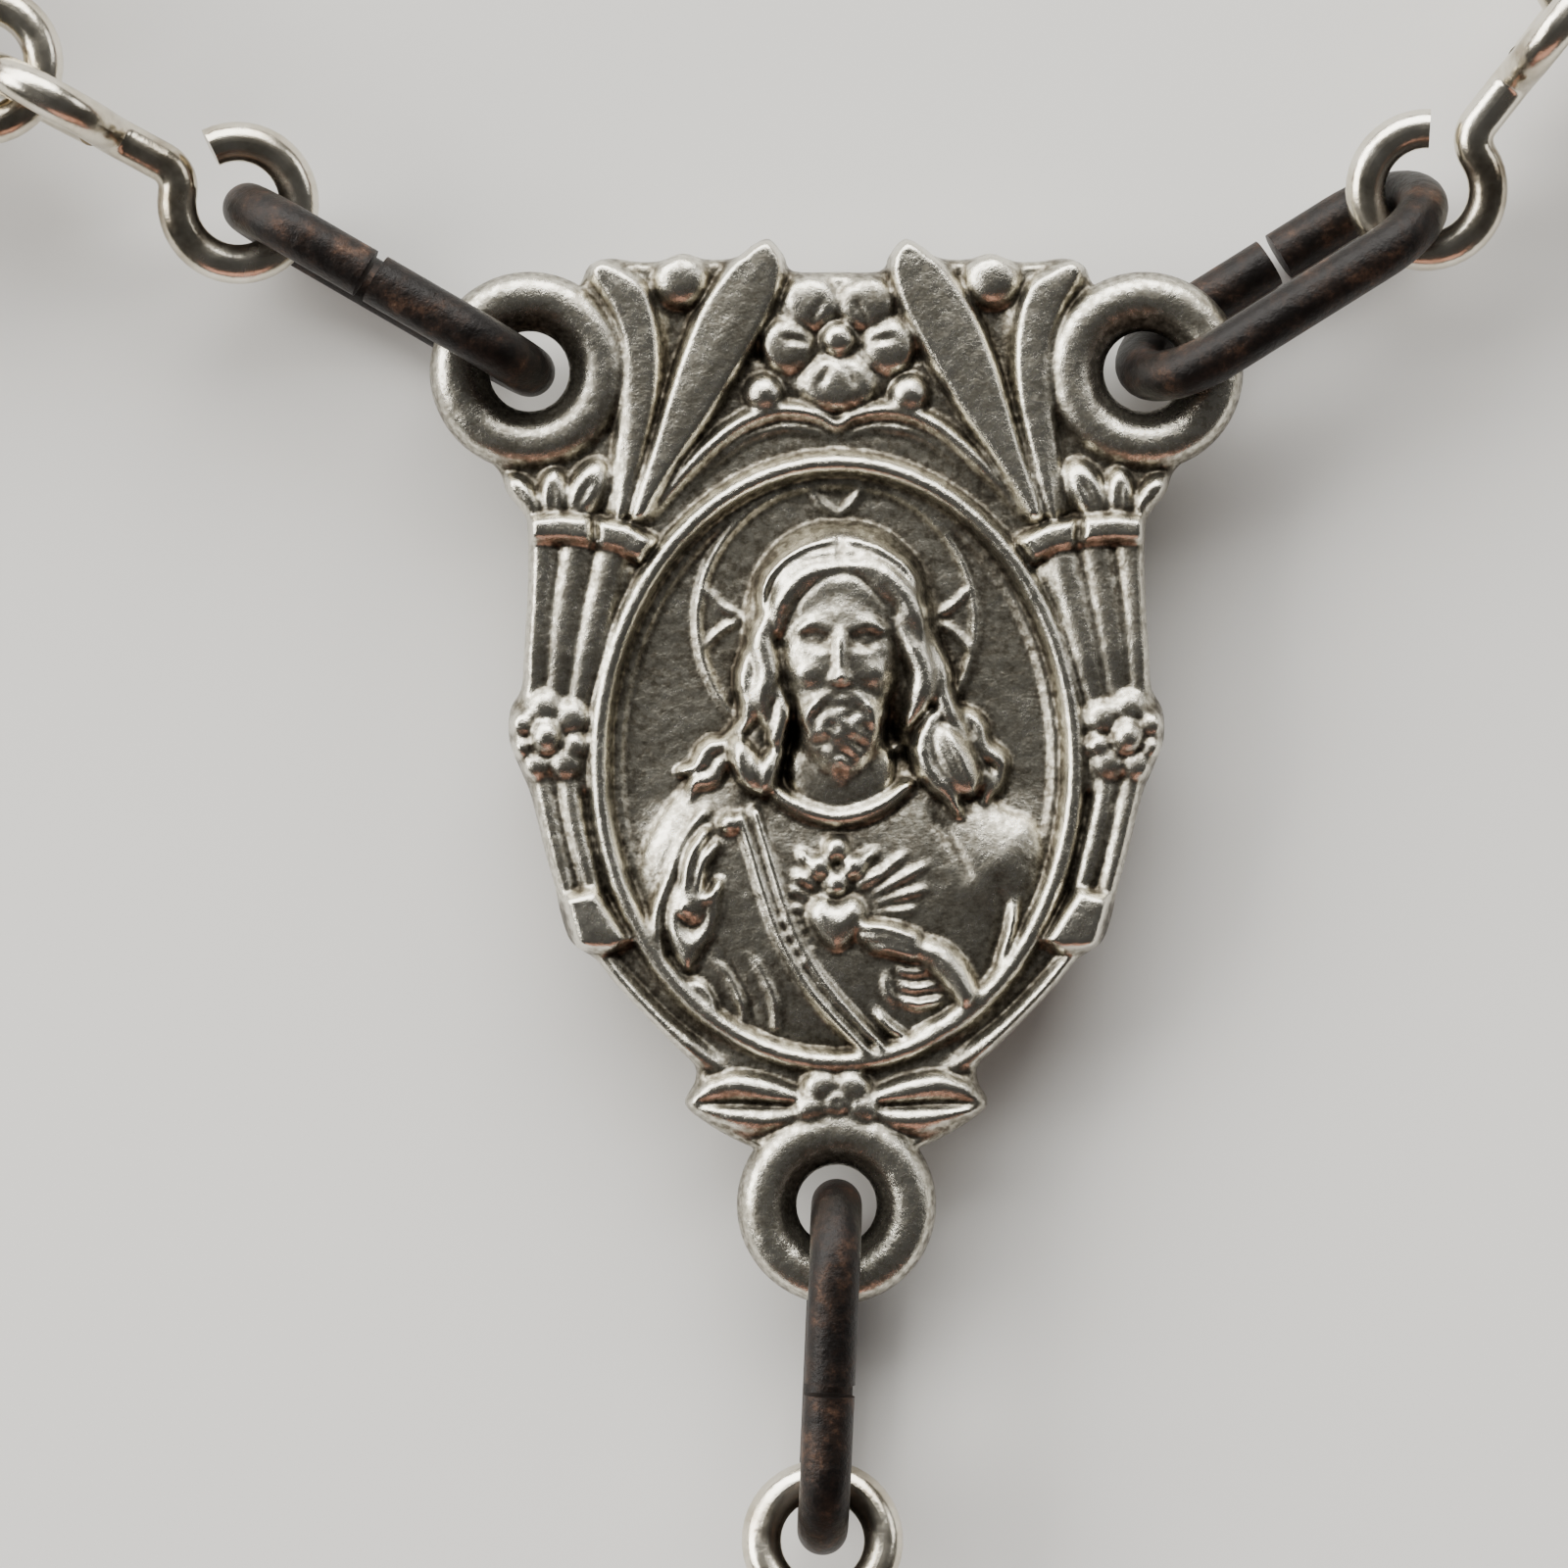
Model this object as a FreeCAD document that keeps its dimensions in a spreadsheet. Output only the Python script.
"""Five-decade rosary, laid out flat.

Millimetres. +Z is up from the surface the rosary lies on, +Y runs from the crucifix
to the top of the loop, and the origin is on the surface under the middle of the outline.
"""
import FreeCAD, Part

import math
import os

from FreeCAD import Placement, Rotation, Vector

DIMENSIONS = (
    # wire findings
    ("wire_radius", 0.41, "silver wire of the pins and eye links"),
    ("eye_radius", 1.265, "centreline radius of a wire eye"),
    ("neck_fillet", 0.6, "bend radius between an eye and its neck"),
    ("eye_sweep", 306.0, "degrees of wire in one eye"),
    ("link_span", 4.35, "eye centre to eye centre of an eye link"),
    ("play", 0.1, "gap between two wires that hang on each other"),
    ("oval_wire_radius", 0.525, "dark steel wire of the oval links"),
    ("oval_bend_radius", 1.475, "centreline radius of an oval link's ends"),
    ("oval_leg", 3.8, "straight length of an oval link's legs"),
    ("oval_cut", 0.24, "width of the cut in one leg of an oval link"),
    ("oval_cut_place", 2.1, "near end of the leg to the cut"),
    # beads
    ("small_bead_radius", 3.0, "Hail Mary bead"),
    ("large_bead_radius", 3.5, "Our Father bead"),
    ("bore_clearance", 0.08, "radial gap between a bead's bore and its pin"),
    ("neck_length", 0.35, "wire between a bead and the eye beside it"),
    # centre medal
    ("ring_radius", 1.455, "centreline radius of the medal's and crucifix's rings"),
    ("ring_section", 0.6, "section radius of those rings"),
    ("ring_hole", 0.87, "radius of the hole drilled through each of the medal's rings"),
    ("ring_height", 2.0, "height of the medal's ring plane"),
    ("upper_ring_across", 6.38, "middle of the medal to an upper ring"),
    ("upper_ring_up", 8.12, "middle of the medal to the upper rings"),
    ("lower_ring_down", 9.19, "middle of the medal to the lower ring"),
    ("plate_back", 1.15, "height of the medal's back"),
    ("plate_face", 2.35, "height of the medal's border"),
    ("field_face", 2.05, "height of the sunken oval field"),
    ("rim_top", 2.8, "height of the oval rim"),
    ("rim_across", 5.15, "half width of the oval rim"),
    ("rim_along", 6.41, "half height of the oval rim"),
    ("rim_width", 0.45, "width of the oval rim"),
    ("halo_radius", 2.9, "radius of the ridge round the head"),
    ("halo_section", 0.12, "section radius of that ridge"),
    # crucifix
    ("cross_height", 38.0, "crucifix, end to end of the upright"),
    ("cross_width", 22.0, "crucifix, end to end of the arms"),
    ("cross_arm_drop", 12.0, "top of the upright to the middle of the arms"),
    ("cross_bar", 4.2, "width of the bars"),
    ("cross_thickness", 2.2, "thickness of the bars"),
    ("cross_ring_height", 1.75, "height of the crucifix's ring plane"),
    ("title_length", 4.0, "title plate, across the upright"),
    ("title_width", 1.9, "title plate, along the upright"),
    ("title_thickness", 0.5, "title plate"),
    ("title_above_arms", 4.9, "middle of the arms to the middle of the title plate"),
    # how the chain lies
    ("left_heading", 150.0, "direction of the left oval link"),
    ("right_heading", 32.0, "direction of the right oval link"),
    ("pendant_heading", 267.5, "direction of the pendant's oval link"),
    ("right_oval_roll", 203.0, "roll of the right oval link about its length"),
    ("left_link_heading", 152.0, "direction of the left chain's first eye link"),
    ("right_link_heading", 52.0, "direction of the right chain's first eye link"),
    ("left_chain_heading", 152.0, "direction in which the left chain leaves"),
    ("right_chain_heading", 34.0, "direction in which the right chain leaves"),
    ("pendant_chain_heading", 269.0, "direction in which the pendant leaves"),
    ("pendant_sway", 2.0, "degrees that the pendant curves to each side"),
)

UP = Vector(0, 0, 1)
ACROSS = Vector(1, 0, 0)
SIDEWAYS = Vector(0, 1, 0)

doc = FreeCAD.newDocument("Rosary")


def make_sheet():
    """The spreadsheet with every driving dimension."""
    cells = doc.addObject("Spreadsheet::Sheet", "Dimensions")
    for row, (alias, number, note) in enumerate(DIMENSIONS, start=1):
        cells.set("A%d" % row, alias)
        cells.set("B%d" % row, str(number))
        cells.setAlias("B%d" % row, alias)
        cells.set("C%d" % row, note)
    doc.recompute()
    return cells


sheet = make_sheet()


def value(alias):
    """A driving dimension's number."""
    return float(getattr(sheet, alias))


def tie(item, **expressions):
    """Tie an object's properties to expressions that name cells of the sheet."""
    for name, expression in expressions.items():
        words = expression.split()
        cells = ["Dimensions." + word if word[0].isalpha() else word for word in words]
        item.setExpression(name, " ".join(cells))
    return item


def add(kind, name, place=None, **expressions):
    """A Part object whose sizes are tied to the sheet."""
    item = tie(doc.addObject("Part::" + kind, name), **expressions)
    if place is not None:
        item.Placement = place
    return item


def at(across, along, height, turn=0.0):
    """A placement at a point, turned about Z by some degrees."""
    return Placement(Vector(across, along, height), Rotation(UP, turn))


def lying(across, along, height):
    """A placement that lays an object's own Z along +X."""
    return Placement(Vector(across, along, height), Rotation(SIDEWAYS, 90))


# ------------------------------------------------------------------ wire pieces


def eye_edges(place):
    """The bend and the loop of an eye round the origin, with its neck coming along +X."""
    radius = value("eye_radius")
    fillet = value("neck_fillet")
    reach = math.sqrt(radius * radius + 2 * fillet * radius)
    neck_end = Vector(-reach, 0, 0)
    bend_centre = Vector(-reach, fillet, 0)
    start = math.atan2(fillet, -reach)
    touch = Vector(math.cos(start), math.sin(start), 0) * radius
    half_turn = 0.5 * (start - math.radians(90))
    bend_middle = bend_centre + Vector(math.sin(half_turn), -math.cos(half_turn), 0) * fillet
    sweep = math.radians(value("eye_sweep"))
    middle, end = (
        Vector(math.cos(angle), math.sin(angle), 0) * radius
        for angle in (start - sweep / 2, start - sweep)
    )
    bend = Part.Arc(neck_end, bend_middle, touch).toShape()
    loop = Part.Arc(touch, middle, end).toShape()
    return neck_end, [edge.transformed(place.toMatrix()) for edge in (bend, loop)]


def swept_wire(name, edges, radius):
    """A round wire along a chain of tangent edges."""
    spine = doc.addObject("Part::Feature", name + "_line")
    spine.Shape = Part.Wire(Part.sortEdges(edges)[0])
    first = spine.Shape.OrderedEdges[0]
    start = spine.Shape.OrderedVertexes[0].Point
    ends = (first.FirstParameter, first.LastParameter)
    near_end = min(ends, key=lambda end: first.valueAt(end).distanceToPoint(start))
    section = add("Circle", name + "_section", Radius=radius)
    section.Placement = Placement(start, Rotation(UP, first.tangentAt(near_end)))
    wire = doc.addObject("Part::Sweep", name)
    wire.Sections = [section]
    wire.Spine = (spine, ["Edge%d" % number for number in range(1, len(edges) + 1)])
    wire.Solid = True
    return wire


def eyed_wire(name, span, far_turn, near_turn=0):
    """A wire with a flat eye round the origin and an eye at span, each turned about its length."""
    far_place = Placement(Vector(span, 0, 0), Rotation(ACROSS, far_turn))
    near_place = Placement(Vector(), Rotation(ACROSS, near_turn) * Rotation(UP, 180))
    neck_end, near = eye_edges(near_place)
    far = eye_edges(far_place)[1]
    neck = Part.makeLine(Vector(-neck_end.x, 0, 0), Vector(span + neck_end.x, 0, 0))
    return swept_wire(name, near + [neck] + far, "wire_radius")


def oval_link():
    """A long link of steel wire, on edge, with a cut in its upper leg."""
    bend = value("oval_bend_radius")
    leg = value("oval_leg")
    cut = value("oval_cut_place")
    far_cut = cut + value("oval_cut")
    edges = [
        Part.makeLine(Vector(far_cut, 0, bend), Vector(leg, 0, bend)),
        Part.Arc(Vector(leg, 0, bend), Vector(leg + bend, 0, 0), Vector(leg, 0, -bend)).toShape(),
        Part.makeLine(Vector(leg, 0, -bend), Vector(0, 0, -bend)),
        Part.Arc(Vector(0, 0, -bend), Vector(-bend, 0, 0), Vector(0, 0, bend)).toShape(),
        Part.makeLine(Vector(0, 0, bend), Vector(cut, 0, bend)),
    ]
    return swept_wire("oval_link", edges, "oval_wire_radius")


def bead(name, radius):
    """A round bead with a bore along X."""
    ball = add("Sphere", name + "_ball", lying(0, 0, 0), Radius=radius)
    bore = add("Cylinder", name + "_bore", lying(-value(radius), 0, 0),
               Radius="wire_radius + bore_clearance", Height="2 * " + radius)
    drilled = doc.addObject("Part::Cut", name)
    drilled.Base = ball
    drilled.Tool = bore
    return drilled


def pin_span(radius):
    """Eye centre to eye centre of a pin that carries a bead."""
    return 2 * (value(radius) + value("neck_length") + value("eye_radius") + value("wire_radius"))


SMALL_SPAN = pin_span("small_bead_radius")
LARGE_SPAN = pin_span("large_bead_radius")

OVAL = oval_link()
LINK = eyed_wire("eye_link", value("link_span"), 90)
TURNED_LINK = eyed_wire("turned_link", value("link_span"), 90, 180)
SMALL_PIN = eyed_wire("small_pin", SMALL_SPAN, 90)
FLAT_PIN = eyed_wire("flat_pin", SMALL_SPAN, 0)
LARGE_PIN = eyed_wire("large_pin", LARGE_SPAN, 90)
SMALL_BEAD = bead("small_bead", "small_bead_radius")
LARGE_BEAD = bead("large_bead", "large_bead_radius")

# kind of piece: its wire, its bead, eye centre to eye centre, the height its bead lies at
KINDS = {
    "link": (LINK, None, value("link_span"), None),
    "turned_link": (TURNED_LINK, None, value("link_span"), None),
    "small": (SMALL_PIN, SMALL_BEAD, SMALL_SPAN, value("small_bead_radius")),
    "closing": (FLAT_PIN, SMALL_BEAD, SMALL_SPAN, value("small_bead_radius")),
    "large": (LARGE_PIN, LARGE_BEAD, LARGE_SPAN, value("large_bead_radius")),
}

# ------------------------------------------------------------ how the chain lies

LEFT_GROUPS = (
    ("centre_left_eye_link", ("turned_link",)),
    ("decade_1_first", ("small",) * 3),
    ("decade_1_middle", ("small",) * 4),
    ("decade_1_last", ("small",) * 3 + ("link",)),
    ("our_father_2", ("large",)),
    ("decade_2_first", ("link",) + ("small",) * 3),
    ("decade_2_middle", ("small",) * 4),
    ("decade_2_last", ("small",) * 3 + ("link",)),
    ("our_father_3", ("large",)),
    ("decade_3_first", ("link",) + ("small",) * 5),
)
RIGHT_GROUPS = (
    ("centre_right_eye_link", ("link",)),
    ("decade_5_last", ("small",) * 3),
    ("decade_5_middle", ("small",) * 4),
    ("decade_5_first", ("small",) * 3 + ("link",)),
    ("our_father_5", ("large",)),
    ("decade_4_last", ("link",) + ("small",) * 3),
    ("decade_4_middle", ("small",) * 4),
    ("decade_4_first", ("small",) * 3 + ("link",)),
    ("our_father_4", ("large",)),
    ("decade_3_last", ("link",) + ("small",) * 4 + ("closing",)),
)
PENDANT_GROUPS = (
    ("centre_pendant_eye_link", ("link",)),
    ("pendant_upper_our_father", ("large",)),
    ("pendant_upper_link", ("link",)),
    ("pendant_hail_mary_1", ("small",)),
    ("pendant_hail_mary_2", ("small",)),
    ("pendant_hail_mary_3", ("small",)),
    ("pendant_middle_link", ("link",)),
    ("pendant_lower_our_father", ("large",)),
    ("pendant_lower_link", ("link",)),
)

# the share of a half loop that its first eye link takes
FIRST_SHARE = 0.02


def direction(heading):
    """The level unit vector of a heading in degrees from +X."""
    return Vector(math.cos(math.radians(heading)), math.sin(math.radians(heading)), 0)


def hang(wire, heading, overlap, start_height, end_height, span):
    """Where a piece lies that hangs on an upright wire, and its own far wire."""
    forward = direction(heading)
    reach = value("eye_radius") + span
    pitch = math.asin((end_height - start_height) / reach)
    slope = forward * math.cos(pitch) + UP * math.sin(pitch)
    near_wire = wire - forward * overlap
    near_wire.z = start_height
    near_eye = near_wire + slope * value("eye_radius")
    rotation = Rotation(UP, heading) * Rotation(SIDEWAYS, -math.degrees(pitch))
    far_wire = near_eye + slope * span + forward * value("eye_radius")
    return Placement(near_eye, rotation), far_wire


def lay_branch(ring, groups, oval_heading, heading_at, end_height):
    """Lay a branch from a ring of the medal: its groups, their hinges and its last wire."""
    forward = direction(oval_heading)
    oval_place = Placement(ring + forward * value("ring_radius"), Rotation(UP, oval_heading))
    wire = ring + forward * (value("ring_radius") + value("oval_leg") + value("oval_bend_radius"))
    overlap = value("oval_wire_radius") + value("wire_radius") + value("play")
    kinds = [kind for name, kinds in groups for kind in kinds]
    heights = [KINDS[kind][3] for kind in kinds] + [end_height]
    laid = []
    height = ring.z
    count = 0
    for name, group in groups:
        hinge = wire
        pieces = []
        for kind in group:
            heading = heading_at((count + 0.5) / len(kinds))
            level = heights[count]
            start, end = (height, heights[count + 1]) if level is None else (level, level)
            place, wire = hang(wire, heading, overlap, start, end, KINDS[kind][2])
            pieces.append((kind, place))
            overlap = 2 * value("wire_radius") + value("play")
            height = end
            count += 1
        laid.append((name, pieces, hinge))
    return oval_place, laid, wire, heading


def medal_ring(side):
    """The middle of one of the medal's rings."""
    if side == "pendant":
        return Vector(0, -value("lower_ring_down"), value("ring_height"))
    across = value("upper_ring_across") * (-1 if side == "left" else 1)
    return Vector(across, value("upper_ring_up"), value("ring_height"))


def lay_side(side, groups, end_heading, fullness):
    """Lay one half of the loop: past its first link it swings round faster towards the top."""
    start = value(side + "_chain_heading")

    def heading_at(share):
        if share < FIRST_SHARE:
            return value(side + "_link_heading")
        return start + (end_heading - start) * share ** fullness

    return lay_branch(medal_ring(side), groups, value(side + "_heading"), heading_at,
                      value("small_bead_radius"))


def lay_loop(fullness, top_heading):
    """Both halves of the loop, which meet at the top along top_heading."""
    return (lay_side("left", LEFT_GROUPS, top_heading, fullness),
            lay_side("right", RIGHT_GROUPS, 180 + top_heading, fullness))


def loop_gap(fullness, top_heading):
    """How far the right half's last eye is from its place on the left half's last wire."""
    left, right = lay_loop(fullness, top_heading)
    right_eye = right[2] - direction(right[3]) * value("eye_radius")
    hook = value("eye_radius") - 2 * value("wire_radius") - value("play")
    gap = right_eye - left[2] - direction(left[3]) * hook
    return gap.x, gap.y


def close_loop():
    """The fullness and the top heading with which the halves meet, by Newton's method."""
    fullness, top = 1.4, 3.0
    step = 1e-5
    for _ in range(12):
        across, along = loop_gap(fullness, top)
        fuller_across, fuller_along = loop_gap(fullness + step, top)
        turned_across, turned_along = loop_gap(fullness, top + step)
        a, b = (fuller_across - across) / step, (turned_across - across) / step
        c, d = (fuller_along - along) / step, (turned_along - along) / step
        scale = a * d - b * c
        fullness -= (d * across - b * along) / scale
        top -= (a * along - c * across) / scale
    return fullness, top


LEFT, RIGHT = lay_loop(*close_loop())


def pendant_heading(share):
    """The pendant runs almost straight down from the medal, in a slight S."""
    sway = value("pendant_sway") * math.sin(math.radians(360 * share))
    return value("pendant_chain_heading") + sway


PENDANT = lay_branch(medal_ring("pendant"), PENDANT_GROUPS, value("pendant_heading"),
                     pendant_heading, value("cross_ring_height"))

# ---------------------------------------------------------------- chain sub-parts


def sub_part(label, members):
    """A sub-part: copies of pieces, each at its place in the frame of the first one."""
    base = members[0][1]
    node = doc.addObject("Part::Compound", label)
    copies = []
    for master, place in members:
        copy = doc.addObject("App::Link", label + "_piece")
        copy.LinkedObject = master
        copy.LinkPlacement = base.inverse() * place
        copies.append(copy)
    node.Links = copies
    node.Placement = base
    node.Label = label
    return node


def chain_parts(groups):
    """The wires and the beads of a branch's groups."""
    made = []
    for name, pieces, hinge in groups:
        wires = [(KINDS[kind][0], place) for kind, place in pieces]
        beads = [(KINDS[kind][1], place * at(KINDS[kind][2] / 2, 0, 0))
                 for kind, place in pieces if KINDS[kind][1]]
        if not beads:
            made.append(sub_part(name, wires))
        elif len(wires) == 1:
            made.append(sub_part(name + "_pin", wires))
            made.append(sub_part(name + "_bead", beads))
        else:
            made.append(sub_part(name + "_wires", wires))
            made.append(sub_part(name + "_beads", beads))
    return made


# ------------------------------------------------------------------ centre medal

# one half of the outline, from the top down: across, along
HALF_OUTLINE = (
    (0.0, 10.2), (1.0, 10.15), (1.35, 10.75), (1.75, 10.7), (2.35, 10.1), (3.2, 10.35),
    (3.9, 10.2), (4.7, 10.4), (5.1, 10.1), (5.6, 9.5), (7.2, 7.0), (6.9, 5.8), (6.4, 5.1),
    (6.35, 3.3), (6.5, 1.9), (6.75, 1.0), (6.75, 0.2), (6.3, -0.8), (5.95, -1.9), (5.6, -3.4),
    (4.9, -4.3), (3.4, -5.85), (2.8, -6.4), (3.1, -7.1), (1.85, -7.85), (0.9, -8.1),
)


def new_sketch(body, name, height):
    """A sketch on the body's XY plane, at the height of a cell."""
    sketch = body.newObject("Sketcher::SketchObject", name)
    plane = [item for item in body.Origin.OriginFeatures if item.Role == "XY_Plane"][0]
    sketch.AttachmentSupport = [(plane, "")]
    sketch.MapMode = "FlatFace"
    tie(sketch, **{".AttachmentOffset.Base.z": height})
    return sketch


def oval(sketch, across, along):
    """An upright ellipse round the sketch's origin."""
    sketch.addGeometry(Part.Ellipse(Vector(0, along, 0), Vector(-across, 0, 0), Vector()), False)


def medal_plate():
    """The cast plate: border, sunken field and raised rim."""
    body = doc.addObject("PartDesign::Body", "medal_plate")
    outline = new_sketch(body, "plate_outline", "plate_back")
    half = [Vector(across, along, 0) for across, along in HALF_OUTLINE]
    points = half + [Vector(-point.x, point.y, 0) for point in reversed(half[1:])]
    for start, end in zip(points, points[1:] + points[:1]):
        outline.addGeometry(Part.LineSegment(start, end), False)
    plate = body.newObject("PartDesign::Pad", "plate")
    plate.Profile = outline
    tie(plate, Length="plate_face - plate_back")
    field_edge = new_sketch(body, "field_edge", "plate_face")
    inner = (value("rim_across") - value("rim_width"), value("rim_along") - value("rim_width"))
    oval(field_edge, *inner)
    field = body.newObject("PartDesign::Pocket", "field")
    field.Profile = field_edge
    tie(field, Length="plate_face - field_face")
    rim_edges = new_sketch(body, "rim_edges", "plate_face")
    oval(rim_edges, value("rim_across"), value("rim_along"))
    oval(rim_edges, *inner)
    rim = body.newObject("PartDesign::Pad", "rim")
    rim.Profile = rim_edges
    tie(rim, Length="rim_top - plate_face")
    doc.recompute()
    return body


def ornament(name, across, along, height, turn, half_length, half_width, half_height):
    """An ellipsoid boss with its length at turn degrees from +X."""
    item = doc.addObject("Part::Ellipsoid", name)
    item.Radius1 = half_height
    item.Radius2 = half_length
    item.Radius3 = half_width
    item.Placement = at(across, along, height, turn)
    return item


def flower(name, across, along, height, petals, reach, petal, middle):
    """A flower: a middle ball and a ring of balls that stand clear of each other."""
    made = [ornament(name, across, along, height, 0, middle, middle, middle)]
    for number in range(petals):
        spoke = direction(90 + 360 * number / petals) * reach
        made.append(ornament(name + "_petal", across + spoke.x, along + spoke.y, height, 0,
                             petal, petal, petal))
    return made


def mirrored_ornaments():
    """Leaves, quivers, scrolls and balls that each side of the medal has."""
    made = []
    for side in (-1, 1):
        # name, across, along, height, turn, half length, half width, half height
        for name, across, along, height, turn, length, width, tall in (
            ("large_leaf", 2.75, 8.0, 2.35, 62, 3.0, 0.62, 0.75),
            ("small_leaf", 4.45, 7.9, 2.35, 88, 2.45, 0.5, 0.6),
            ("upper_quiver", 5.75, 3.15, 2.3, 96, 1.5, 0.6, 0.75),
            ("upper_flames", 5.75, 5.4, 2.3, 80, 0.6, 0.8, 0.6),
            ("lower_quiver", 5.45, -2.0, 2.3, 84, 1.5, 0.5, 0.75),
            ("lower_scroll", 4.15, -5.0, 2.3, 47, 1.65, 0.42, 0.6),
            ("upper_bow", 1.75, -6.55, 2.3, 8, 1.25, 0.5, 0.6),
            ("lower_bow", 1.95, -7.2, 2.3, 145, 1.1, 0.42, 0.6),
            ("crown_ball", 1.53, 7.7, 2.5, 0, 0.36, 0.36, 0.5),
            ("tip_ball", 3.2, 9.9, 2.4, 0, 0.54, 0.54, 0.5),
        ):
            angle = turn if side > 0 else 180 - turn
            made.append(ornament(name, side * across, along, height, angle, length, width, tall))
        made += flower("side_rosette", side * 5.95, 0.6, 2.5, 6, 0.62, 0.28, 0.3)
    return made


def middle_ornaments():
    """The crown flower, the bow's knot, the bust and the flaming heart."""
    made = flower("crown_flower", 0.0, 8.7, 2.5, 5, 0.9, 0.48, 0.36)
    made += flower("bow_knot", 0.0, -6.95, 2.5, 6, 0.62, 0.28, 0.3)
    # name, across, along, height, turn, half length, half width, half height
    for name, across, along, height, turn, length, width, tall in (
        ("hair", 0.1, 2.65, 2.05, 90, 2.5, 1.75, 1.0),
        ("face", 0.1, 2.75, 2.5, 90, 1.45, 1.0, 1.05),
        ("shoulders", 0.0, -2.6, 2.0, 90, 3.2, 3.9, 1.15),
        ("heart", 0.0, -3.05, 3.05, 0, 0.55, 0.6, 0.4),
        ("raised_hand", -3.1, -2.9, 2.75, 100, 1.0, 0.5, 0.5),
        ("lower_hand", 1.5, -3.9, 2.9, 155, 1.1, 0.45, 0.4),
    ):
        made.append(ornament(name, across, along, height, turn, length, width, tall))
    made.append(add("Torus", "halo", at(0, 2.95, value("field_face")),
                    Radius1="halo_radius", Radius2="halo_section"))
    return made


def centre_medal():
    """The three-way centre: plate, three rings and the relief on its face."""
    pieces = [medal_plate()]
    for side in ("left", "right", "pendant"):
        pieces.append(add("Torus", side + "_ring", Placement(medal_ring(side), Rotation()),
                          Radius1="ring_radius", Radius2="ring_section"))
    pieces += mirrored_ornaments() + middle_ornaments()
    joined = doc.addObject("Part::MultiFuse", "medal_solid")
    joined.Shapes = pieces
    holes = []
    for side in ("left", "right", "pendant"):
        ring = medal_ring(side)
        holes.append(add("Cylinder", side + "_hole", at(ring.x, ring.y, 0),
                         Radius="ring_hole", Height="2 * ring_height"))
    drill = doc.addObject("Part::MultiFuse", "medal_holes")
    drill.Shapes = holes
    medal = doc.addObject("Part::Cut", "centre_medal")
    medal.Base = joined
    medal.Tool = drill
    medal.Label = "centre_medal"
    return medal


# ---------------------------------------------------------------------- crucifix


def slab(name, width, height, thickness, base, place):
    """A box centred across and along, lying on a base height."""
    box = add("Box", name, Length=width, Width=height, Height=thickness)
    box.Placement = place * Placement(Vector(-value(width) / 2, -value(height) / 2, base),
                                      Rotation())
    return box


def cross_solid():
    """The cross with budded ends and its ring; its own +Y points up the upright."""
    ring_reach = value("ring_radius") + value("ring_section")
    top = -ring_reach
    arms = top - value("cross_arm_drop")
    foot = top - value("cross_height")
    pieces = [
        slab("upright", "cross_bar", "cross_height", "cross_thickness", 0,
             at(0, (top + foot) / 2, 0)),
        slab("arms", "cross_width", "cross_bar", "cross_thickness", 0, at(0, arms, 0)),
        add("Torus", "cross_ring", at(0, 0, value("cross_ring_height")),
            Radius1="ring_radius", Radius2="ring_section"),
    ]
    bud = value("cross_thickness") / 2
    side = value("cross_bar") / 2
    half_width = value("cross_width") / 2
    ends = ((0, top, 0), (0, foot, 180), (-half_width, arms, 90), (half_width, arms, 270))
    for across, along, turn in ends:
        end = at(across, along, bud, turn)
        for bud_across, bud_out in ((-side, -bud), (0, 0), (side, -bud)):
            ball = add("Sphere", "bud", end * at(bud_across, bud_out, 0),
                       Radius="cross_thickness / 2")
            pieces.append(ball)
    cross = doc.addObject("Part::MultiFuse", "cross_solid")
    cross.Shapes = pieces
    return cross, arms


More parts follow.
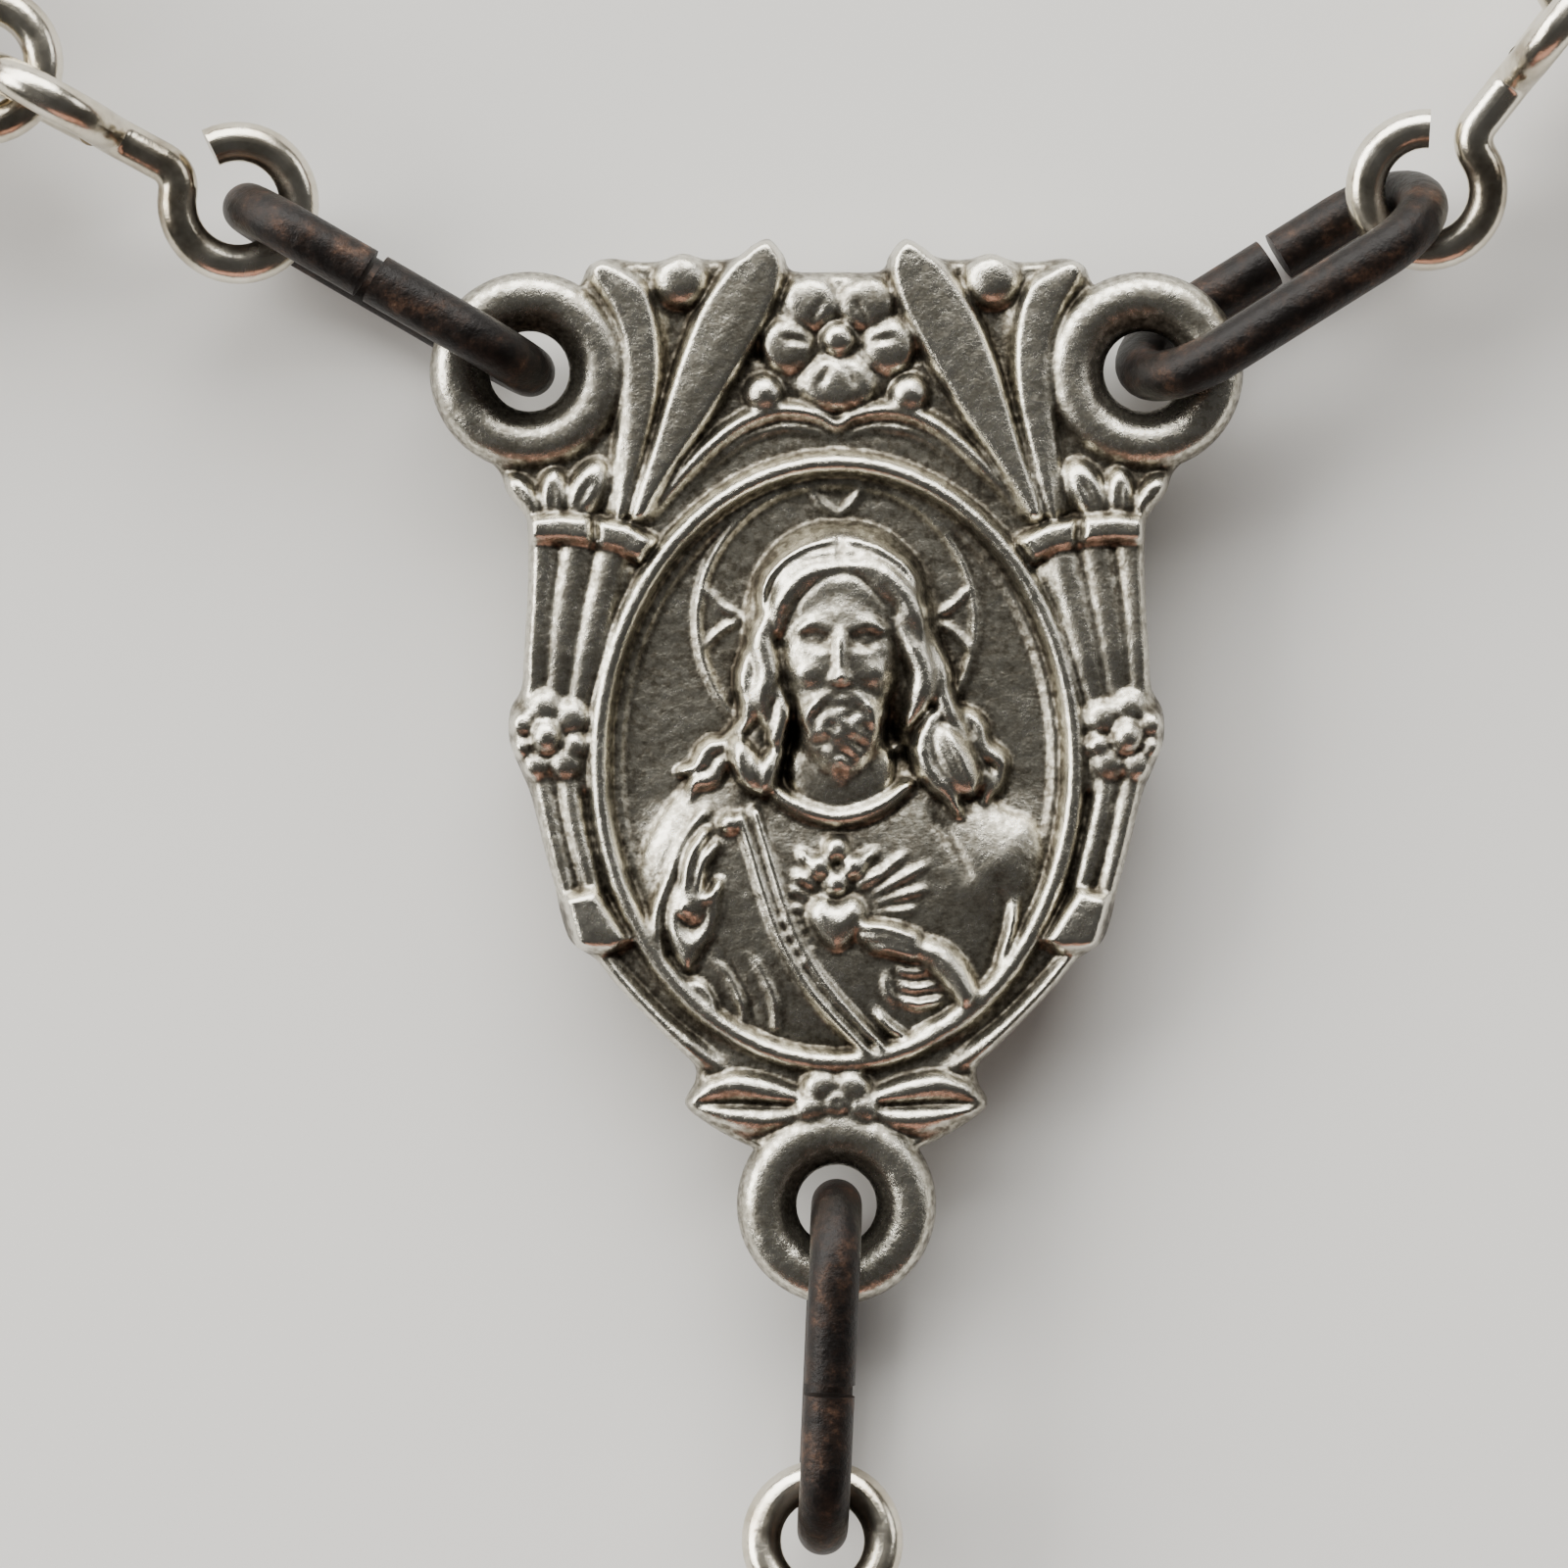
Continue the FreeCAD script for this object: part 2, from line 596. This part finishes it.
def corpus_solid(arms):
    """A plain figure in low relief whose back lies on the cross."""
    level = value("cross_thickness")
    # name, across, along, height, turn, half length, half width, half height
    members = [
        ("head", 0, 0.9, 0.3, 90, 1.05, 0.8, 0.9),
        ("chest", 0, -2.2, 0.1, 90, 2.3, 1.35, 1.0),
        ("hips", 0, -5.2, 0.1, 90, 1.7, 1.3, 1.0),
        ("left_leg", -0.4, -8.9, 0.1, 92, 3.4, 0.62, 0.85),
        ("right_leg", 0.4, -8.9, 0.1, 88, 3.4, 0.62, 0.85),
        ("feet", 0, -12.4, 0.1, 90, 1.1, 0.6, 0.7),
    ]
    for side, turn in ((-1, 169), (1, 11)):
        members.append(("arm", side * 4.1, -0.1, 0.05, turn, 3.4, 0.5, 0.6))
        members.append(("hand", side * 7.4, 0.6, 0.05, turn, 0.8, 0.5, 0.5))
    parts = [
        ornament(name, across, arms + along, level + height, turn, length, width, tall)
        for name, across, along, height, turn, length, width, tall in members
    ]
    figure = doc.addObject("Part::MultiFuse", "figure")
    figure.Shapes = parts
    under = slab("under_figure", "cross_width", "cross_height", "cross_thickness", 0,
                 at(0, arms, 0))
    corpus = doc.addObject("Part::Cut", "corpus")
    corpus.Base = figure
    corpus.Tool = under
    return corpus


def crucifix_parts():
    """The cross, the figure on it and the blank title plate above the figure."""
    wire, heading = PENDANT[2:]
    forward = direction(heading)
    inside = value("wire_radius") + value("ring_section") + value("play")
    ring = wire + forward * (value("ring_radius") - inside)
    place = at(ring.x, ring.y, 0, heading + 90)
    cross, arms = cross_solid()
    title = add("Box", "title", Length="title_length", Width="title_width",
                Height="title_thickness")
    title_corner = at(-value("title_length") / 2,
                      arms + value("title_above_arms") - value("title_width") / 2,
                      value("cross_thickness"))
    return [
        sub_part("crucifix_cross", [(cross, place)]),
        sub_part("crucifix_corpus", [(corpus_solid(arms), place)]),
        sub_part("crucifix_title_plate", [(title, place * title_corner)]),
    ]


# ------------------------------------------------------------------------- build


def oval_parts():
    """The three dark oval links on the medal's rings."""
    made = []
    for side, branch, roll in (("left", LEFT, 0), ("right", RIGHT, value("right_oval_roll")),
                               ("pendant", PENDANT, 0)):
        place = branch[0] * Placement(Vector(), Rotation(ACROSS, roll))
        made.append(sub_part("centre_" + side + "_oval_link", [(OVAL, place)]))
    return made


def centre_outline(nodes):
    """Shift every sub-part so that the whole outline's middle is over the origin."""
    box = FreeCAD.BoundBox()
    for node in nodes:
        box.add(node.Shape.BoundBox)
    shift = Placement(Vector(-box.Center.x, -box.Center.y, 0), Rotation())
    for node in nodes:
        node.Placement = shift * node.Placement
    doc.recompute()
    return shift


NODES = [centre_medal()] + oval_parts()
for chain_branch in (LEFT, RIGHT, PENDANT):
    NODES += chain_parts(chain_branch[1])
NODES += crucifix_parts()
doc.recompute()
SHIFT = centre_outline(NODES)

for item in doc.Objects:
    if "Invalid" in item.State or "Error" in item.State:
        raise RuntimeError("%s is %s" % (item.Name, item.State))
for node in NODES:
    if node.Shape.isNull() or not node.Shape.isValid():
        raise RuntimeError("%s has no valid shape" % node.Label)

os.makedirs("parts", exist_ok=True)
for node in NODES:
    node.Shape.exportStep("parts/%s.step" % node.Label)
